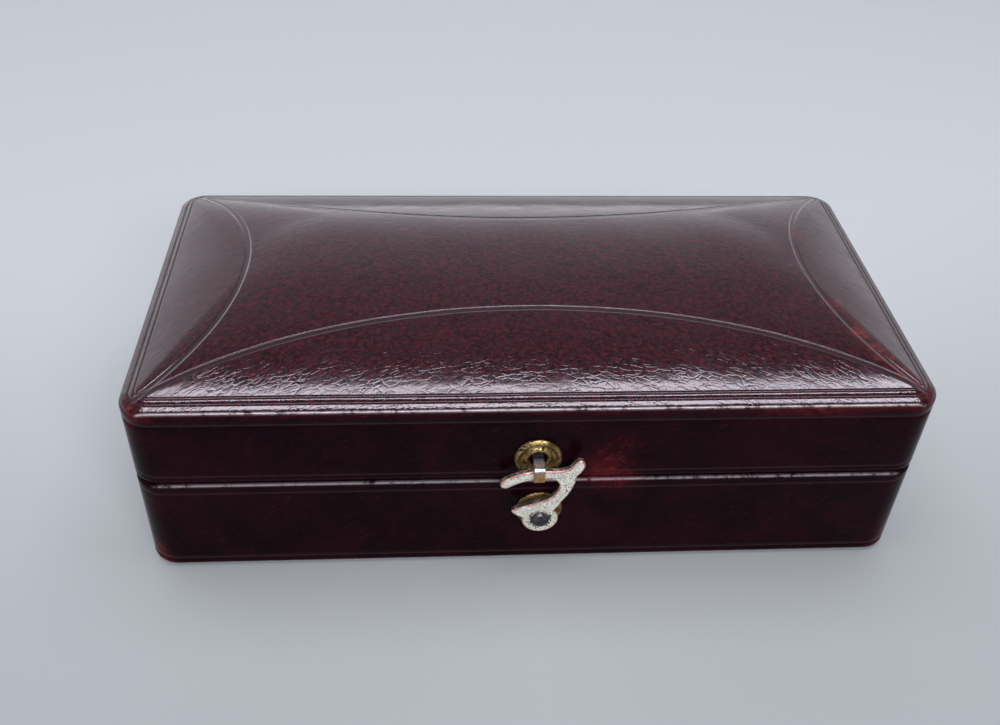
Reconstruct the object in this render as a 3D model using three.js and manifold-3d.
// A leather-covered sewing case: a domed lid hinged to a base, a hook catch in front, and sewing tools
// lying in a fitted velvet pad. Millimetres, +Z up, front at -Y, origin at the middle of the footprint.
import * as THREE from "three";
import { mergeVertices } from "three/addons/utils/BufferGeometryUtils.js";
import Module from "manifold-3d";

const wasm = await Module();
wasm.setup();

// The case's outside
const caseLength = 150;
const caseDepth = 75;
const cornerRadius = 5.5;
const rimHeight = 22.7;
const seamGap = 0.4;
const lidWallHeight = 17.1;
const domeRise = 8.4;
const rimRound = 0.8;
const soleRound = 1.2;
const shoulderRound = 1.3;
const crownWidth = 5;
const domePowerShare = 2.3;
const hipShare = 0.62;

// The arcs pressed into the lid's leather, from corner to corner
const longArcInset = 21.4;
const shortArcInset = 18.8;
const arcCornerInset = 2.6;
const toolWidth = 1;
const toolDepth = 0.22;

// Leather, boards and walls
const leather = 0.8;
const wallThickness = 3.2;
const bottomBoard = 2;
const boardEdge = 1.9;
const solePanel = 0.95;
const soleLift = 0.2;

// Clearances
const glueGap = 0.25;
const layGap = 0.3;
const lidRunGap = 0.4;
const pinGap = 0.06;
const seatGap = 0.15;
const cutOver = 1;
const weldDistance = 0.000017;
const pointGap = 0.001;
const smallestCorner = 0.6;

// The lip that stands inside the base, and the two soft linings
const lipThickness = 1.2;
const lipStand = 3.5;
const padSink = 2.7;
const liningDepth = 4.7;
const liningEdge = 2.6;
const liningCrown = 20;

// The two back hinges
const hingeEndMargin = 21;
const hingeLength = 16;
const barrelRadius = 1.15;
const barrelInset = 1.25;
const hingePinRadius = 0.45;
const leafThickness = 0.6;
const leafWidth = 2.65;
const knuckleGap = 0.15;
const bevelAngle = THREE.MathUtils.degToRad(50);
const bevelGap = 0.2;
const nailHeadRadius = 0.55;
const nailHeadDepth = 0.3;
const nailRadius = 0.28;
const nailLength = 2.2;
const nailSpacing = 10;
const nailSetBack = 1.85;

// The hook catch
const hookOffset = 1.1;
const hookHeight = 15;
const armRadius = 12.8;
const armWidth = 2.1;
const armStart = THREE.MathUtils.degToRad(126);
const armEnd = THREE.MathUtils.degToRad(82);
const bossRadius = 3.5;
const hookPlate = 1.2;
const hookStandOff = 1.9;
const spacerRadius = 2.3;
const rivetRadius = 0.9;
const rivetHeadRadius = 1.8;
const rivetHeadRise = 0.9;
const rivetTail = 2.6;
const washerRadius = 4.5;
const washerThickness = 0.6;
const keeperWidth = 2.1;
const keeperThickness = 0.6;
const keeperLeg = 4.4;
const keeperBend = 0.9;
const keeperTail = 3;
const keeperOffset = 0.25;
const keeperRoom = 0.7;
const keeperGap = 0.45;
const rosetteRadius = 4.5;
const rosetteHole = 1.75;
const rosettePlate = 0.45;
const rosetteBead = 1.1;

// Thimble
const thimbleEndMargin = 3.5;
const thimbleFrontMargin = 7.5;
const thimbleRadius = 8.3;
const thimbleTopRadius = 6.4;
const thimbleHeight = 20;
const thimbleCrown = 2.9;
const thimbleWall = 0.7;
const thimbleRim = 0.5;
const thimbleFloor = 0.7;

// Scissors
const scissorsEndMargin = 3.5;
const scissorsFrontMargin = 2.6;
const bladeLength = 36;
const bladeWidth = 3.4;
const handleReach = 41;
const bowSpread = 9.9;
const bowRadius = 9.4;
const bowWire = 2.1;
const shankWidth = 3.2;
const pivotDisc = 4;
const halfThickness = 1.5;
const scissorScrewRadius = 1.1;
const scissorScrewHead = 2.2;
const scissorScrewRise = 0.7;

// Needle case, stiletto and bodkin
const needleCaseEndMargin = 1.85;
const needleCaseBackMargin = 6.55;
const needleCaseRadius = 4.8;
const needleCaseLength = 62;
const needleCaseWall = 0.8;
const capLength = 20;
const neckLength = 6;
const beadWidth = 1.6;
const beadRise = 0.3;
const capPull = 6;
const stilettoEndMargin = 14;
const stilettoSpacing = 3.2;
const stilettoHandle = 34;
const stilettoRadius = 3;
const ferruleLength = 3;
const ferruleWall = 0.35;
const spikeLength = 28;
const spikeRadius = 1.1;
const tangLength = 8;
const bodkinEndGap = 6;
const bodkinFrontMargin = 2.75;
const bodkinLength = 54;
const bodkinWidth = 3.2;
const bodkinThickness = 1.1;
const bodkinEye = 8;
const bodkinEyeWidth = 1.4;
const nestGap = 0.6;
const notchRadius = 6.6;

// How finely round shapes are cut
const cornerSteps = 7;
const roundSteps = 3;
const domeSteps = 8;
const sides = 24;
const mediumSides = 14;
const smallSides = 8;
const arcSteps = 9;
const outlineSteps = 4;

// Levels and places that follow from the sizes above
const frontY = -caseDepth / 2;
const lidBottom = rimHeight + seamGap;
const lidEdge = lidBottom + lidWallHeight;
const woodInset = leather + glueGap;
const cavityInset = woodInset + wallThickness;
const boardTop = soleLift + woodInset + bottomBoard;
const ceiling = lidEdge - woodInset - boardEdge;
const lipInset = cavityInset + lidRunGap;
const padInset = lipInset + lipThickness + layGap;
const padBottom = boardTop + layGap;
const padTop = rimHeight - padSink;
const hingeY = caseDepth / 2 - barrelInset;
const hingeZ = rimHeight + seamGap / 2;
const hookX = hookOffset;
const keeperX = keeperOffset;
const keeperUnder = hookHeight + armRadius + keeperRoom;
const rosetteZ = keeperUnder + keeperThickness / 2;

// Where the tools lie: measured in from the pad's ends and from each other
const padEnd = caseLength / 2 - padInset;
const padSide = caseDepth / 2 - padInset;
const thimbleReach = thimbleRadius + thimbleRim;
const thimbleX = padEnd - thimbleEndMargin - thimbleReach;
const thimbleY = thimbleFrontMargin + thimbleReach - padSide;
const pivotX = scissorsEndMargin + bowRadius + handleReach - padEnd;
const pivotY = scissorsFrontMargin + bowRadius + bowSpread - padSide;
const needleCaseX = padEnd - needleCaseEndMargin - capPull - needleCaseLength / 2;
const needleCaseY = padSide - needleCaseBackMargin - needleCaseRadius;
const stilettoX = padEnd - stilettoEndMargin;
const stilettoY = needleCaseY - needleCaseRadius - stilettoSpacing - stilettoRadius;
const bodkinX = thimbleX - thimbleReach - bodkinEndGap - bodkinLength / 2;
const bodkinY = bodkinFrontMargin + bodkinWidth / 2 - padSide;

// Finishes
function finish(color, roughness, metalness = 0) {
  return new THREE.MeshStandardMaterial({ color, roughness, metalness });
}
const oxblood = finish(0x2a0d12, 0.32);
const pine = finish(0xa98458, 0.8);
const solePaper = finish(0x241416, 0.75);
const velvet = finish(0x43215c, 0.95);
const silk = finish(0xd9c9a6, 0.5);
const lipPaper = finish(0x5a2a2c, 0.6);
const brass = finish(0x8f7440, 0.42, 1);
const wornSilver = finish(0xa9a19c, 0.38, 1);
const silver = finish(0xc9c6c0, 0.22, 1);
const steel = finish(0xb4b6b9, 0.25, 1);
const bone = finish(0xe3d8bd, 0.45);

// Solids from geometries, and back
function solid(geometry) {
  const bare = geometry.clone();
  bare.deleteAttribute("normal");
  bare.deleteAttribute("uv");
  const merged = mergeVertices(bare, weldDistance);
  const vertProperties = merged.attributes.position.array;
  const triVerts = new Uint32Array(merged.index.array);
  return new wasm.Manifold(new wasm.Mesh({ numProp: 3, vertProperties, triVerts }));
}

function union(pieces) {
  return pieces.reduce((whole, piece) => whole.add(piece));
}

function cutAll(body, cutters) {
  return cutters.reduce((rest, cutter) => rest.subtract(cutter), body);
}

function part(name, body, material) {
  const { vertProperties, triVerts } = body.getMesh();
  const geometry = new THREE.BufferGeometry();
  geometry.setAttribute("position", new THREE.BufferAttribute(new Float32Array(vertProperties), 3));
  geometry.setIndex(new THREE.BufferAttribute(new Uint32Array(triVerts), 1));
  geometry.computeVertexNormals();
  const mesh = new THREE.Mesh(geometry, material);
  mesh.name = name;
  return mesh;
}

// A box given by two opposite corners
function block(low, high) {
  const size = high.map((value, axis) => value - low[axis]);
  const middle = high.map((value, axis) => (value + low[axis]) / 2);
  return solid(new THREE.BoxGeometry(...size).translate(...middle));
}

// A round rod along one axis, from one end to the other
function rod(axis, radius, from, to, count = sides) {
  const length = to.distanceTo(from);
  const geometry = new THREE.CylinderGeometry(radius, radius, length, count);
  if (axis === "x") geometry.rotateZ(-Math.PI / 2);
  if (axis === "z") geometry.rotateX(Math.PI / 2);
  const middle = from.clone().add(to).divideScalar(2);
  return solid(geometry.translate(middle.x, middle.y, middle.z));
}

// A turned piece: its profile is [radius, height] pairs from one end to the other
function turned(profile, count = sides) {
  return new THREE.LatheGeometry(
    profile.map(([radius, height]) => new THREE.Vector2(radius, height)),
    count,
  );
}

// One level outline of a box with rounded corners, turning left seen from above
function ring(inset, z, radius = Math.max(cornerRadius - inset, smallestCorner)) {
  const halfX = caseLength / 2 - inset;
  const halfY = caseDepth / 2 - inset;
  const points = [];
  for (let quarter = 0; quarter < 4; quarter++) {
    const signX = quarter === 0 || quarter === 3 ? 1 : -1;
    const signY = quarter < 2 ? 1 : -1;
    for (let step = 0; step <= cornerSteps; step++) {
      const angle = ((quarter + step / cornerSteps) * Math.PI) / 2;
      const x = signX * (halfX - radius) + radius * Math.cos(angle);
      const y = signY * (halfY - radius) + radius * Math.sin(angle);
      points.push(new THREE.Vector3(x, y, z));
    }
  }
  return points;
}

// Skins a stack of rings from the lowest to the highest and closes both ends
function loft(rings) {
  const count = rings[0].length;
  const index = [];
  for (let level = 0; level + 1 < rings.length; level++) {
    for (let i = 0; i < count; i++) {
      const a = level * count + i;
      const b = level * count + ((i + 1) % count);
      index.push(a, b, b + count, a, b + count, a + count);
    }
  }
  const top = (rings.length - 1) * count;
  for (let i = 1; i + 1 < count; i++) {
    index.push(0, i + 1, i, top, top + i, top + i + 1);
  }
  const geometry = new THREE.BufferGeometry();
  const values = rings.flat().flatMap((point) => point.toArray());
  geometry.setAttribute("position", new THREE.Float32BufferAttribute(values, 3));
  geometry.setIndex(index);
  return solid(geometry);
}

function prism(inset, low, high) {
  return loft([ring(inset, low), ring(inset, high)]);
}

// Levels of a rounded edge, as [inset, z], from its outer face turning inwards
function roundedEdge(inset, z, radius, upwards) {
  if (radius <= 0) return [[inset, z]];
  const levels = [];
  for (let step = 0; step <= roundSteps; step++) {
    const angle = ((step / roundSteps) * Math.PI) / 2;
    const inwards = radius * (1 - Math.cos(angle));
    const along = radius * (1 - Math.sin(angle));
    levels.push([inset + inwards, z - upwards * along]);
  }
  return upwards > 0 ? levels : levels.reverse();
}

// The lid's crown: height over the lid's edge at a distance in from the outline
function domeHeight(inwards) {
  const halfDepth = caseDepth / 2;
  return domeRise * (1 - Math.pow(1 - inwards / halfDepth, domePowerShare));
}

function domeSlope(inwards) {
  const halfDepth = caseDepth / 2;
  const share = Math.pow(1 - inwards / halfDepth, domePowerShare - 1);
  return (domeRise * domePowerShare * share) / halfDepth;
}

// The back edges are bevelled, so that the lid opens until the two bevels meet
function bevelCutter(inset, upwards) {
  const reach = caseDepth / 2;
  const away = bevelGap + inset;
  const start = [-away * Math.sin(bevelAngle), -away * Math.cos(bevelAngle)];
  const along = [Math.cos(bevelAngle), -Math.sin(bevelAngle)];
  const inner = [start[0] - along[0] * barrelInset, start[1] - along[1] * barrelInset];
  const outer = [start[0] + along[0] * reach, start[1] + along[1] * reach];
  const outline = new THREE.Shape();
  const side = (point) => [hingeY + point[0], hingeZ + upwards * point[1]];
  outline.moveTo(...side(inner));
  outline.lineTo(...side(outer));
  outline.lineTo(...side([outer[0], reach]));
  outline.lineTo(...side([inner[0], reach]));
  return sideways(outline, caseLength + cutOver);
}

// An outline as straight pieces, with no two points in one place
function cleanOutline(outline, steps) {
  const distinct = (path) => {
    const points = path.getPoints(steps);
    return points.filter((point, i) => point.distanceTo(points[(i + 1) % points.length]) > pointGap);
  };
  const clean = new THREE.Shape(distinct(outline));
  clean.holes = outline.holes.map((hole) => new THREE.Path(distinct(hole)));
  return clean;
}

function extruded(outline, depth, steps = outlineSteps) {
  return new THREE.ExtrudeGeometry(cleanOutline(outline, steps), { depth, bevelEnabled: false });
}

// Extrudes an outline drawn in (y, z) along X, centred on the middle plane
function sideways(outline, length, middle = 0) {
  const geometry = extruded(outline, length);
  const yToX = new THREE.Matrix4().set(0, 0, 1, middle - length / 2, 1, 0, 0, 0, 0, 1, 0, 0, 0, 0, 0, 1);
  return solid(geometry.applyMatrix4(yToX));
}

// Extrudes an outline drawn in (x, y) upwards from one level to the next
function upright(outline, low, high, steps = outlineSteps * 2) {
  return solid(extruded(outline, high - low, steps).translate(0, 0, low));
}

// The base and the lid as full forms, drawn in by an inset: leather outside, wood inside
function baseForm(inset) {
  const levels = [
    ...roundedEdge(inset, soleLift + inset, soleRound - inset, -1),
    ...roundedEdge(inset, rimHeight - inset, rimRound - inset, 1),
  ];
  return loft(levels.map(([in_, z]) => ring(in_, z))).subtract(bevelCutter(inset, 1));
}

function shoulderLevels(inset) {
  const lean = Math.atan(domeSlope(0));
  const turn = Math.PI / 2 - lean;
  const radius = Math.max(shoulderRound - inset, shoulderRound * 0.1);
  const end = radius * (1 - Math.cos(turn));
  const centre = lidEdge - inset + domeHeight(end) - radius * Math.sin(turn);
  const levels = [];
  for (let step = 0; step <= roundSteps; step++) {
    const angle = (turn * step) / roundSteps;
    levels.push([inset + radius * (1 - Math.cos(angle)), centre + radius * Math.sin(angle)]);
  }
  return levels;
}

function domeRings(inset, from) {
  const last = caseDepth / 2 - crownWidth / 2;
  const rings = [];
  for (let step = 1; step <= domeSteps; step++) {
    const inwards = from + (last - from) * Math.pow(step / domeSteps, 1.15);
    const hip = cornerRadius - from + hipShare * (inwards - from);
    const radius = Math.min(hip, (caseDepth / 2 - inwards) * 0.9);
    rings.push(ring(inwards, lidEdge - inset + domeHeight(inwards - inset), radius));
  }
  return rings;
}

function lidForm(inset) {
  const levels = [
    ...roundedEdge(inset, lidBottom + inset, rimRound - inset, -1),
    ...shoulderLevels(inset),
  ];
  const rings = levels.map(([in_, z]) => ring(in_, z));
  rings.push(...domeRings(inset, levels.at(-1)[0]));
  return loft(rings).subtract(bevelCutter(inset, -1));
}

// Room for a hinge in the rim: its leaf's bed and the groove behind its barrel
function hingeBed(x, upwards) {
  const half = hingeLength / 2 + layGap;
  const near = hingeY - leafWidth - layGap;
  const face = hingeZ + (upwards * seamGap) / 2;
  const floor = face + upwards * (leafThickness + layGap);
  const open = face - (upwards * seamGap) / 2;
  const low = Math.min(floor, open);
  const high = Math.max(floor, open);
  const bed = block([x - half, near, low], [x + half, hingeY, high]);
  const from = new THREE.Vector3(x - half, hingeY, hingeZ);
  const to = new THREE.Vector3(x + half, hingeY, hingeZ);
  return bed.add(rod("x", barrelRadius + layGap, from, to, mediumSides));
}

function nailPlaces(x) {
  return [x - nailSpacing / 2, x + nailSpacing / 2];
}

// A nail with its head at the leaf's face; grow widens it into its own hole
function nail(x, upwards, grow = 0) {
  const profile = [
    [0, -nailLength - grow],
    [nailRadius + grow, -nailLength - grow],
    [nailRadius + grow, -nailHeadDepth],
    [nailHeadRadius + grow, 0],
    [nailHeadRadius + grow, grow],
    [0, grow],
  ];
  const trimmed = grow > 0 ? profile : profile.filter((_, i) => i !== 4);
  const geometry = turned(trimmed, smallSides).rotateX(upwards > 0 ? -Math.PI / 2 : Math.PI / 2);
  const face = hingeZ + (upwards * seamGap) / 2;
  return solid(geometry.translate(x, hingeY - nailSetBack, face));
}

// Three knuckles: the base's leaf holds the outer two and the lid's leaf the middle one
function knuckleSpans(x, outer) {
  const third = hingeLength / 3;
  const inner = third / 2;
  if (!outer) return [[x - inner + knuckleGap, x + inner - knuckleGap]];
  return [
    [x - hingeLength / 2, x - inner],
    [x + inner, x + hingeLength / 2],
  ];
}

function hingeLeaf(x, upwards) {
  const half = hingeLength / 2;
  const face = hingeZ + (upwards * seamGap) / 2;
  const back = face + upwards * leafThickness;
  const low = Math.min(face, back);
  const high = Math.max(face, back);
  const plate = block([x - half, hingeY - leafWidth, low], [x + half, hingeY, high]);
  const spanRod = ([from, to], radius) =>
    rod("x", radius, new THREE.Vector3(from, hingeY, hingeZ), new THREE.Vector3(to, hingeY, hingeZ), mediumSides);
  const whole = [x - half - cutOver, x + half + cutOver];
  const cleared = plate.subtract(spanRod(whole, barrelRadius + knuckleGap));
  const spans = knuckleSpans(x, upwards < 0);
  const knuckles = spans.map((span) => spanRod(span, barrelRadius));
  const webs = spans.map(([from, to]) => block([from, hingeY - leafWidth, low], [to, hingeY, high]));
  const holes = nailPlaces(x).map((place) => nail(place, upwards, pinGap));
  const leaf = union([cleared, ...knuckles, ...webs]);
  return cutAll(leaf, [spanRod(whole, hingePinRadius + pinGap), ...holes]);
}

function hingePin(x) {
  const half = hingeLength / 2;
  const from = new THREE.Vector3(x - half, hingeY, hingeZ);
  return rod("x", hingePinRadius, from, new THREE.Vector3(x + half, hingeY, hingeZ), smallSides);
}

const hingeEnd = caseLength / 2 - hingeEndMargin - hingeLength / 2;
const hingePlaces = { left: -hingeEnd, right: hingeEnd };

function hingeCuts(upwards) {
  return Object.values(hingePlaces).flatMap((x) => [
    hingeBed(x, upwards),
    ...nailPlaces(x).map((place) => nail(place, upwards, glueGap)),
  ]);
}

// The front wall's holes for the rivet and the keeper's tail
function rivetHole() {
  const from = new THREE.Vector3(hookX, frontY - cutOver, hookHeight);
  const to = new THREE.Vector3(hookX, frontY + rivetTail + layGap, hookHeight);
  return rod("y", rivetRadius + seatGap, from, to, smallSides);
}

function keeperSlot() {
  const halfWidth = keeperWidth / 2 + seatGap;
  const halfHeight = keeperThickness / 2 + seatGap;
  return block(
    [keeperX - halfWidth, frontY - cutOver, rosetteZ - halfHeight],
    [keeperX + halfWidth, frontY + keeperTail + layGap, rosetteZ + halfHeight],
  );
}

// One pressed arc on a side of the lid: half its chord, how far in its middle lies, and which way it faces
function arcBand(halfChord, halfAcross, inset, turn) {
  const rise = inset - arcCornerInset;
  const radius = (halfChord * halfChord + rise * rise) / (2 * rise);
  const spread = Math.asin(halfChord / radius);
  const centre = halfAcross - inset + radius;
  const start = -Math.PI / 2 - spread;
  const band = new THREE.Shape();
  band.absarc(0, centre, radius + toolWidth / 2, start, start + 2 * spread, false);
  band.absarc(0, centre, radius - toolWidth / 2, start + 2 * spread, start, true);
  return upright(band, lidEdge - domeRise, lidEdge + domeRise + cutOver, arcSteps).rotate([0, 0, turn]);
}

function pressedArcs() {
  const long = caseLength / 2 - arcCornerInset;
  const short = caseDepth / 2 - arcCornerInset;
  const bands = [0, 180].map((turn) => arcBand(long, caseDepth / 2, longArcInset, turn));
  bands.push(...[90, -90].map((turn) => arcBand(short, caseLength / 2, shortArcInset, turn)));
  return union(bands).subtract(lidForm(toolDepth));
}

// Covers and boards
function baseLeather() {
  const skin = baseForm(0).subtract(baseForm(leather));
  const mouth = prism(cavityInset, -cutOver, rimHeight + cutOver);
  return cutAll(skin, [mouth, ...hingeCuts(-1), rivetHole()]);
}

function baseFrame() {
  const walls = baseForm(woodInset).subtract(prism(cavityInset, -cutOver, rimHeight + cutOver));
  const below = prism(0, -cutOver, boardTop + glueGap);
  return cutAll(walls, [below, ...hingeCuts(-1), rivetHole()]);
}

function baseBoard() {
  return baseForm(woodInset).subtract(prism(0, boardTop, rimHeight + cutOver));
}

function soleCover() {
  return prism(cavityInset + layGap, 0, solePanel);
}

function lidLeather() {
  const skin = lidForm(0).subtract(lidForm(leather));
  const mouth = prism(cavityInset, rimHeight, lidBottom + leather + cutOver);
  return cutAll(skin, [mouth, ...hingeCuts(1), keeperSlot(), pressedArcs()]);
}

function lidFrame() {
  const walls = lidForm(woodInset).subtract(prism(cavityInset, rimHeight, lidEdge + domeRise));
  const above = prism(0, ceiling - glueGap, lidEdge + domeRise + cutOver);
  return cutAll(walls, [above, ...hingeCuts(1), keeperSlot()]);
}

function lidBoard() {
  return lidForm(woodInset).subtract(prism(0, rimHeight, ceiling));
}

function lip() {
  const outer = prism(lipInset, boardTop + glueGap, rimHeight + lipStand);
  return outer.subtract(prism(lipInset + lipThickness, boardTop, rimHeight + lipStand + cutOver));
}

// The lid's padded lining: thick in the middle, drawn in at its edge
function lidLining() {
  const top = ceiling - layGap;
  const edge = cavityInset + layGap;
  const rings = [];
  for (let step = roundSteps; step >= 0; step--) {
    const share = step / roundSteps;
    const depth = liningEdge + (liningDepth - liningEdge) * Math.sin((share * Math.PI) / 2);
    rings.push(ring(edge + liningCrown * share, top - depth));
  }
  rings.push(ring(edge, top));
  return loft(rings);
}

// The catch: a C-shaped hook on a rivet, and a turned-down keeper in a rosette
const hookBackShares = [
  [0.29, 1.005],
  [0.42, 1.045],
  [0.5, 1.14],
  [0.575, 1.235],
  [0.645, 1.2],
  [0.67, 1.11],
  [0.62, 0.99],
  [0.55, 0.9],
  [0.535, 0.75],
  [0.46, 0.53],
  [0.34, 0.35],
];
const hookBeakShares = [
  [-0.3, 0.05],
  [-0.4, 0.12],
  [-0.415, 0.2],
  [-0.17, 0.3],
  [0.04, 0.375],
  [0.16, 0.45],
  [0.26, 0.58],
  [0.285, 0.7],
  [0.235, 0.8],
];

function hookOutline() {
  const inner = armRadius - armWidth;
  const tip = armWidth * 0.5;
  const middle = armRadius - tip;
  const onArm = (shares) => shares.map(([x, y]) => new THREE.Vector2(x * armRadius, y * armRadius));
  const outline = new THREE.Shape();
  outline.moveTo(armRadius * Math.cos(armStart), armRadius * Math.sin(armStart));
  outline.absarc(0, 0, armRadius, armStart, armEnd, true);
  outline.splineThru(onArm(hookBackShares));
  outline.absarc(0, 0, bossRadius, Math.PI * 0.22, Math.PI * 0.96, true);
  outline.splineThru(onArm(hookBeakShares));
  outline.absarc(0, 0, inner, armEnd, armStart, false);
  outline.absarc(middle * Math.cos(armStart), middle * Math.sin(armStart), tip, armStart + Math.PI, armStart, true);
  return outline;
}

function frontwards(outline, near, depth) {
  const geometry = extruded(outline, depth).rotateX(Math.PI / 2);
  return solid(geometry.translate(hookX, frontY - near, hookHeight));
}

function hook() {
  const plate = frontwards(hookOutline(), hookStandOff, hookPlate);
  const foot = washerThickness + seatGap * 2;
  const spacer = rod(
    "y",
    spacerRadius,
    new THREE.Vector3(hookX, frontY - foot, hookHeight),
    new THREE.Vector3(hookX, frontY - hookStandOff - hookPlate / 2, hookHeight),
  );
  const bore = rod(
    "y",
    rivetRadius + pinGap,
    new THREE.Vector3(hookX, frontY + cutOver, hookHeight),
    new THREE.Vector3(hookX, frontY - hookStandOff - hookPlate - cutOver, hookHeight),
  );
  return plate.add(spacer).subtract(bore);
}

// A turned piece on the front wall: its heights point out of the wall
function onFront(profile, x, z, count = sides) {
  return solid(turned(profile, count).rotateX(Math.PI).translate(x, frontY, z));
}

function hookWasher() {
  const hole = rivetRadius + pinGap;
  const profile = [
    [hole, seatGap],
    [washerRadius, seatGap],
    [washerRadius, seatGap + washerThickness / 2],
    [washerRadius - washerThickness, seatGap + washerThickness],
    [hole, seatGap + washerThickness],
    [hole, seatGap],
  ];
  return onFront(profile, hookX, hookHeight);
}

function hookRivet() {
  const seat = hookStandOff + hookPlate + pinGap;
  const profile = [
    [0, -rivetTail],
    [rivetRadius, -rivetTail],
    [rivetRadius, seat],
    [rivetHeadRadius, seat],
    [rivetHeadRadius * 0.85, seat + rivetHeadRise * 0.55],
    [rivetHeadRadius * 0.5, seat + rivetHeadRise * 0.9],
    [0, seat + rivetHeadRise],
  ];
  return onFront(profile, hookX, hookHeight);
}

function rosette() {
  const bead = rosetteBead;
  const profile = [
    [rosetteHole, seatGap],
    [rosetteRadius, seatGap],
    [rosetteRadius, bead * 0.6],
    [rosetteRadius - bead * 0.3, bead],
    [rosetteRadius - bead * 0.7, bead],
    [rosetteRadius - bead, seatGap + rosettePlate],
    [rosetteHole + bead * 0.8, seatGap + rosettePlate],
    [rosetteHole + bead * 0.5, bead * 0.8],
    [rosetteHole, bead * 0.8],
    [rosetteHole, seatGap],
  ];
  return onFront(profile, keeperX, rosetteZ);
}

function keeper() {
  const front = frontY - hookStandOff - hookPlate - keeperGap - keeperThickness;
  const top = keeperUnder + keeperThickness;
  const back = frontY + keeperTail;
  const innerBend = keeperBend - keeperThickness;
  const outline = new THREE.Shape();
  outline.moveTo(back, top);
  outline.absarc(front + keeperBend, top - keeperBend, keeperBend, Math.PI / 2, Math.PI, false);
  outline.lineTo(front, top - keeperLeg);
  outline.lineTo(front + keeperThickness, top - keeperLeg);
  outline.absarc(front + keeperBend, top - keeperBend, innerBend, Math.PI, Math.PI / 2, true);
  outline.lineTo(back, keeperUnder);
  return sideways(outline, keeperWidth, keeperX);
}

// The tools, each at the place where it lies
const crownTurns = [0, 1, 2, 3, 4].map((step) => (step * Math.PI) / 8);

function thimble() {
  const shoulder = thimbleHeight - thimbleCrown;
  const crown = (radius, rise) =>
    crownTurns.map((turn) => [radius * Math.cos(turn), shoulder + rise * Math.sin(turn)]);
  const profile = [
    [thimbleRadius - thimbleWall, 0],
    [thimbleRadius + thimbleRim, 0],
    [thimbleRadius + thimbleRim, thimbleRim * 2],
    [thimbleRadius, thimbleRim * 3],
    ...crown(thimbleTopRadius, thimbleCrown),
    ...crown(thimbleTopRadius - thimbleWall, thimbleCrown - thimbleWall).reverse(),
    [thimbleRadius - thimbleWall, 0],
  ];
  const floor = padBottom + thimbleFloor + layGap;
  return solid(turned(profile).rotateX(Math.PI / 2).translate(thimbleX, thimbleY, floor));
}

// One half of the scissors, pivot at the origin, tip towards +X, bow on the side given by hand
function scissorHalf(hand) {
  const bowX = -handleReach;
  const bowY = -hand * bowSpread;
  const outline = new THREE.Shape();
  const at = (x, y) => [x, hand * y];
  outline.moveTo(...at(bladeLength, 0));
  outline.quadraticCurveTo(...at(bladeLength * 0.5, bladeWidth), ...at(0, pivotDisc));
  outline.quadraticCurveTo(...at(-pivotDisc * 1.2, pivotDisc * 0.9), ...at(-pivotDisc * 2, 0));
  outline.lineTo(...at(-handleReach + bowRadius * 0.9, -bowSpread + bowRadius * 0.6));
  outline.lineTo(...at(-handleReach + bowRadius * 0.9, -bowSpread + bowRadius * 0.6 - shankWidth));
  outline.quadraticCurveTo(...at(-pivotDisc * 3, -pivotDisc * 0.9), ...at(0, -pivotDisc * 0.8));
  outline.quadraticCurveTo(...at(bladeLength * 0.4, -bladeWidth * 0.3), ...at(bladeLength, 0));
  return { outline, bowX, bowY };
}

function scissorBody(hand, low) {
  const { outline, bowX, bowY } = scissorHalf(hand);
  const high = low + halfThickness;
  const flat = upright(outline, low, high);
  const disc = (radius, over = 0) =>
    rod("z", radius, new THREE.Vector3(bowX, bowY, low - over), new THREE.Vector3(bowX, bowY, high + over));
  const bore = rod(
    "z",
    scissorScrewRadius + pinGap,
    new THREE.Vector3(0, 0, low - cutOver),
    new THREE.Vector3(0, 0, high + cutOver),
    mediumSides,
  );
  const half = flat.add(disc(bowRadius)).subtract(disc(bowRadius - bowWire, cutOver));
  return half.subtract(bore).translate([pivotX, pivotY, 0]);
}

const lowerHalfLevel = padTop - halfThickness;
const upperHalfLevel = padTop + layGap;

function scissorScrew() {
  const top = upperHalfLevel + halfThickness + pinGap;
  const profile = [
    [0, lowerHalfLevel],
    [scissorScrewRadius, lowerHalfLevel],
    [scissorScrewRadius, top],
    [scissorScrewHead, top],
    [scissorScrewHead, top + scissorScrewRise * 0.6],
    [scissorScrewHead * 0.7, top + scissorScrewRise],
    [0, top + scissorScrewRise],
  ];
  return solid(turned(profile).rotateX(Math.PI / 2).translate(pivotX, pivotY, 0));
}

// A turned tool lying along X, its heights running towards +X from its middle
function lying(profile, x, y, z, count = sides) {
  return solid(turned(profile, count).rotateZ(-Math.PI / 2).translate(x, y, z));
}

const needleCaseZ = padTop - 0.2 * needleCaseRadius;
const needleCaseStart = -needleCaseLength / 2;
const needleCaseEnd = needleCaseLength / 2;
const capStart = needleCaseEnd - capLength;

const turnedEndShares = [
  [0, 0],
  [0.3, 0.04],
  [0.4, 0.2],
  [0.32, 0.34],
  [0.62, 0.42],
  [0.88, 0.62],
  [1, 0.95],
];

function needleCaseEnds(end, inwards) {
  return turnedEndShares.map(([r, h]) => [r * needleCaseRadius, end + inwards * h * needleCaseRadius]);
}

// A turned bead that stands out by its own height, as [radius, height] pairs
function turnedBead(at) {
  return [
    [needleCaseRadius, at - beadWidth / 2],
    [needleCaseRadius + beadRise, at - beadWidth / 4],
    [needleCaseRadius + beadRise, at + beadWidth / 4],
    [needleCaseRadius, at + beadWidth / 2],
  ];
}

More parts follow.
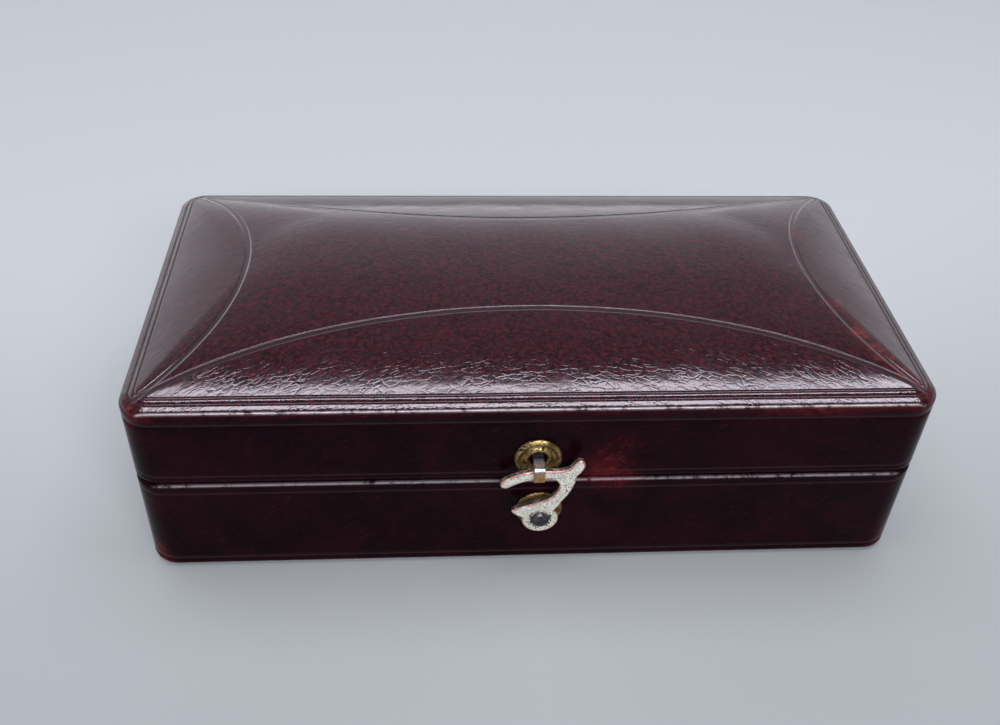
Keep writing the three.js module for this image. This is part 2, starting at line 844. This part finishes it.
function needleCaseBody() {
  const bore = needleCaseRadius - 2 * needleCaseWall;
  const neck = needleCaseRadius - needleCaseWall - pinGap;
  const profile = [
    ...needleCaseEnds(needleCaseStart, 1),
    ...turnedBead(capStart - beadWidth),
    [needleCaseRadius, capStart],
    [neck, capStart],
    [neck, capStart + neckLength],
    [bore, capStart + neckLength],
    [bore, needleCaseStart + needleCaseRadius],
    [0, needleCaseStart + needleCaseRadius],
  ];
  return lying(profile, needleCaseX, needleCaseY, needleCaseZ);
}

function needleCaseCap() {
  const bore = needleCaseRadius - needleCaseWall;
  const profile = [
    [bore, capStart + pinGap],
    [needleCaseRadius, capStart + pinGap],
    ...turnedBead(capStart + beadWidth),
    ...needleCaseEnds(needleCaseEnd, -1).reverse(),
    [0, needleCaseEnd - needleCaseRadius],
    [bore, needleCaseEnd - needleCaseRadius],
    [bore, capStart + pinGap],
  ];
  return lying(profile, needleCaseX, needleCaseY, needleCaseZ);
}

const stilettoZ = padTop - stilettoRadius - layGap;
const handleProfileShares = [
  [0, 0],
  [0.45, 0],
  [0.95, 0.06],
  [1, 0.16],
  [0.66, 0.26],
  [0.6, 0.34],
  [0.88, 0.52],
  [0.86, 0.68],
  [0.6, 0.84],
  [0.62, 0.9],
];

function stilettoGrip() {
  const neckRadius = stilettoRadius * 0.62;
  const profile = handleProfileShares.map(([r, h]) => [r * stilettoRadius, h * stilettoHandle]);
  const bore = spikeRadius + pinGap;
  profile.push([neckRadius, stilettoHandle], [bore, stilettoHandle]);
  profile.push([bore, stilettoHandle - tangLength - layGap], [0, stilettoHandle - tangLength - layGap]);
  return lying(profile.map(([r, h]) => [r, -h]).reverse(), stilettoX, stilettoY, stilettoZ);
}

function stilettoFerrule() {
  const bore = stilettoRadius * 0.62 + pinGap;
  const outer = bore + ferruleWall;
  const near = -stilettoHandle;
  const profile = [
    [bore, near],
    [outer, near],
    [outer, near + ferruleLength],
    [bore, near + ferruleLength],
    [bore, near],
  ];
  return lying(profile, stilettoX, stilettoY, stilettoZ);
}

function stilettoSpike() {
  const near = -stilettoHandle;
  const profile = [
    [0, near - spikeLength],
    [spikeRadius * 0.15, near - spikeLength + spikeRadius],
    [spikeRadius, near - spikeRadius],
    [spikeRadius, near + tangLength],
    [0, near + tangLength],
  ];
  return lying(profile, stilettoX, stilettoY, stilettoZ, smallSides);
}

const bodkinTop = padTop - layGap;

function bodkin() {
  const half = bodkinLength / 2;
  const side = bodkinWidth / 2;
  const outline = new THREE.Shape();
  outline.moveTo(-half, 0);
  outline.quadraticCurveTo(-half + side, -side, -half + bodkinEye, -side);
  outline.absarc(half - side, 0, side, -Math.PI / 2, Math.PI / 2, false);
  outline.lineTo(-half + bodkinEye, side);
  outline.quadraticCurveTo(-half + side, side, -half, 0);
  const eye = new THREE.Path();
  const eyeEnd = half - bodkinWidth;
  eye.moveTo(eyeEnd - bodkinEye, -bodkinEyeWidth / 2);
  eye.lineTo(eyeEnd - bodkinEye, bodkinEyeWidth / 2);
  eye.lineTo(eyeEnd, bodkinEyeWidth / 2);
  eye.lineTo(eyeEnd, -bodkinEyeWidth / 2);
  outline.holes.push(eye);
  return upright(outline, bodkinTop - bodkinThickness, bodkinTop).translate([bodkinX, bodkinY, 0]);
}

// A bed in the pad under a tool that lies along X: a trough with open, straight sides
function trough(x, y, z, radius, length, middle) {
  const from = new THREE.Vector3(x + middle - length / 2, y, z);
  const to = new THREE.Vector3(x + middle + length / 2, y, z);
  const open = block([from.x, y - radius, z], [to.x, y + radius, padTop + cutOver]);
  return rod("x", radius, from, to).add(open);
}

// A straight bar of a width between two places in plan, cut down from the pad's face
function barBed(x1, y1, x2, y2, width, low) {
  const length = Math.hypot(x2 - x1, y2 - y1);
  const geometry = new THREE.BoxGeometry(length, width, padTop + cutOver - low);
  geometry.rotateZ(Math.atan2(y2 - y1, x2 - x1));
  geometry.translate((x1 + x2) / 2, (y1 + y2) / 2, (padTop + cutOver + low) / 2);
  return solid(geometry);
}

function roundBed(x, y, radius, low) {
  return rod("z", radius, new THREE.Vector3(x, y, low), new THREE.Vector3(x, y, padTop + cutOver));
}

function scissorBed() {
  const low = lowerHalfLevel - layGap;
  const bowX = pivotX - handleReach;
  const bowY = pivotY - bowSpread;
  return [
    roundBed(bowX, bowY, bowRadius + nestGap, low),
    roundBed(pivotX, pivotY, pivotDisc + nestGap * 2, low),
    barBed(bowX, bowY + bowRadius * 0.3, pivotX, pivotY, shankWidth * 3 + nestGap, low),
    barBed(pivotX, pivotY, pivotX + bladeLength + nestGap, pivotY, 2 * (bladeWidth + nestGap), low),
  ];
}

// Round notches where fingertips reach the tools that lie deep
function fingerNotches() {
  return [
    roundBed(needleCaseX - capLength / 2, needleCaseY, notchRadius, padTop - needleCaseRadius),
    roundBed(stilettoX - stilettoHandle / 2, stilettoY, notchRadius * 0.75, stilettoZ - stilettoRadius / 2),
    roundBed(bodkinX, bodkinY, notchRadius * 0.5, bodkinTop - bodkinThickness - layGap),
  ];
}

function toolPad() {
  const body = prism(padInset, padBottom, padTop);
  const stilettoLength = stilettoHandle + spikeLength + 2 * nestGap;
  const caseRoom = needleCaseLength + capPull + 2 * nestGap;
  const bodkinRoom = bodkinLength / 2 + nestGap;
  return cutAll(body, [
    ...scissorBed(),
    ...fingerNotches(),
    roundBed(thimbleX, thimbleY, thimbleReach + nestGap, padBottom + thimbleFloor),
    trough(needleCaseX, needleCaseY, needleCaseZ, needleCaseRadius + nestGap, caseRoom, capPull / 2),
    trough(stilettoX, stilettoY, stilettoZ, stilettoRadius + nestGap, stilettoLength, nestGap - stilettoLength / 2),
    block(
      [bodkinX - bodkinRoom, bodkinY - bodkinWidth / 2 - nestGap, bodkinTop - bodkinThickness - layGap],
      [bodkinX + bodkinRoom, bodkinY + bodkinWidth / 2 + nestGap, padTop + cutOver],
    ),
  ]);
}

// The whole set, by the bodies that move as one
function group(...meshes) {
  return new THREE.Group().add(...meshes);
}

function hingeHalf(prefix, upwards) {
  return Object.entries(hingePlaces).flatMap(([side, x]) => [
    part(`${prefix}_hinge_leaf_${side}`, hingeLeaf(x, upwards), brass),
    ...nailPlaces(x).map((place, i) => part(`${prefix}_hinge_nail_${side}_${i + 1}`, nail(place, upwards), brass)),
  ]);
}

const base = group(
  part("base_leather", baseLeather(), oxblood),
  part("base_frame", baseFrame(), pine),
  part("base_board", baseBoard(), pine),
  part("sole_cover", soleCover(), solePaper),
  part("base_lip", lip(), lipPaper),
  part("tool_pad", toolPad(), velvet),
  part("hook_washer", hookWasher(), brass),
  part("hook_rivet", hookRivet(), brass),
  ...hingeHalf("base", -1),
  ...Object.entries(hingePlaces).map(([side, x]) => part(`hinge_pin_${side}`, hingePin(x), steel)),
);

const lid = group(
  part("lid_leather", lidLeather(), oxblood),
  part("lid_frame", lidFrame(), pine),
  part("lid_board", lidBoard(), pine),
  part("lid_lining", lidLining(), silk),
  part("rosette", rosette(), brass),
  part("keeper", keeper(), wornSilver),
  ...hingeHalf("lid", 1),
);

const tools = group(
  part("thimble", thimble(), silver),
  part("scissors_lower_half", scissorBody(1, lowerHalfLevel), steel),
  part("scissors_upper_half", scissorBody(-1, upperHalfLevel), steel),
  part("scissors_screw", scissorScrew(), steel),
  part("needle_case_body", needleCaseBody(), bone),
  part("needle_case_cap", needleCaseCap(), bone),
  part("stiletto_handle", stilettoGrip(), bone),
  part("stiletto_ferrule", stilettoFerrule(), silver),
  part("stiletto_spike", stilettoSpike(), steel),
  part("bodkin", bodkin(), silver),
);

export default group(base, lid, part("hook", hook(), wornSilver), tools);
